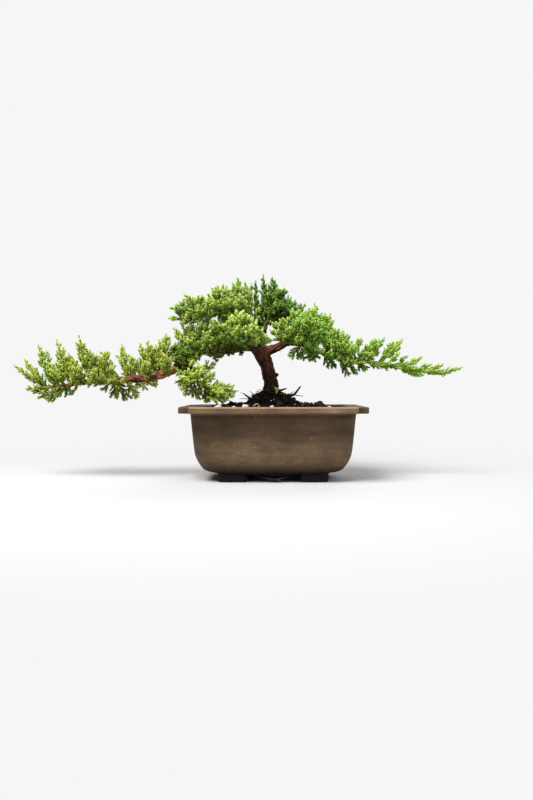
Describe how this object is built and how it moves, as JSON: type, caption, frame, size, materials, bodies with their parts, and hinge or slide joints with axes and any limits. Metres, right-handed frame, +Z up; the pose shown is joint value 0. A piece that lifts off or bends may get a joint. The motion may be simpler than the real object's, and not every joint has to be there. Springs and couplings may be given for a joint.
{
  "type": "juniper bonsai",
  "caption": "Small juniper bonsai with a leaning trunk, a layered crown and long side branches, growing in soil in a footed rectangular clay pot with a flat notched rim.",
  "frame": {"origin": "middle of the underside of the whole part's box, at the level of the pot's feet; the pot's own middle is 30 mm to the +X side and 2.6 mm to the -Y side", "axes": "+X to the right along the pot's long side and along the longest branch's line, +Y away from the front, +Z up"},
  "size_m": [0.398, 0.1248, 0.1818],
  "materials": {
    "fired_clay": "unglazed brown clay, matt with a faint sheen, slightly mottled",
    "potting_soil": "dark loose mix of peat, bark and grit",
    "bark": "red-brown flaking bark, darker near the soil",
    "loose_bark": "rough dark bark chips",
    "juniper_green": "fine sharp green needles, paler and yellower at the tips",
    "dry_shoot": "faded yellow-green fallen shoot",
    "pale_stone": "matt off-white to pinkish grit",
    "dark_wire": "dark anodised soft wire",
    "black_plastic": "matt black moulded mesh"
  },
  "bodies": {
    "root": {"anchor_wire": "dark_wire", "apex_spray_1": "juniper_green", "apex_spray_2": "juniper_green", "apex_spray_3": "juniper_green", "back_spray_1": "juniper_green", "back_spray_2": "juniper_green", "back_spray_3": "juniper_green", "back_spray_4": "juniper_green", "bark_chip_1": "loose_bark", "bark_chip_2": "loose_bark", "bark_chip_3": "loose_bark", "crown_spray_1": "juniper_green", "crown_spray_2": "juniper_green", "crown_spray_3": "juniper_green", "crown_spray_4": "juniper_green", "crown_tip_spray": "juniper_green", "drain_screen_left": "black_plastic", "drain_screen_right": "black_plastic", "fallen_shoot": "dry_shoot", "front_spray_1": "juniper_green", "front_spray_2": "juniper_green", "front_spray_3": "juniper_green", "front_spray_4": "juniper_green", "front_spray_5": "juniper_green", "front_spray_6": "juniper_green", "hanging_spray_1": "juniper_green", "hanging_spray_2": "juniper_green", "left_pad_1": "juniper_green", "left_pad_2": "juniper_green", "left_pad_3": "juniper_green", "left_pad_4": "juniper_green", "left_spray_1": "juniper_green", "left_spray_2": "juniper_green", "left_spray_3": "juniper_green", "left_spray_4": "juniper_green", "left_spray_5": "juniper_green", "left_spray_6": "juniper_green", "left_spray_7": "juniper_green", "left_spray_8": "juniper_green", "left_tip_spray": "juniper_green", "left_under_spray_1": "juniper_green", "left_under_spray_2": "juniper_green", "pot": "fired_clay", "right_spray_1": "juniper_green", "right_spray_2": "juniper_green", "right_spray_3": "juniper_green", "right_spray_4": "juniper_green", "right_spray_5": "juniper_green", "right_tip_spray": "juniper_green", "right_under_spray_1": "juniper_green", "right_under_spray_2": "juniper_green", "seedling": "juniper_green", "small_spray": "juniper_green", "soil": "potting_soil", "stone_1": "pale_stone", "stone_2": "pale_stone", "stone_3": "pale_stone", "stone_4": "pale_stone", "stone_5": "pale_stone", "tree_wood": "bark"}
  },
  "joints": []
}
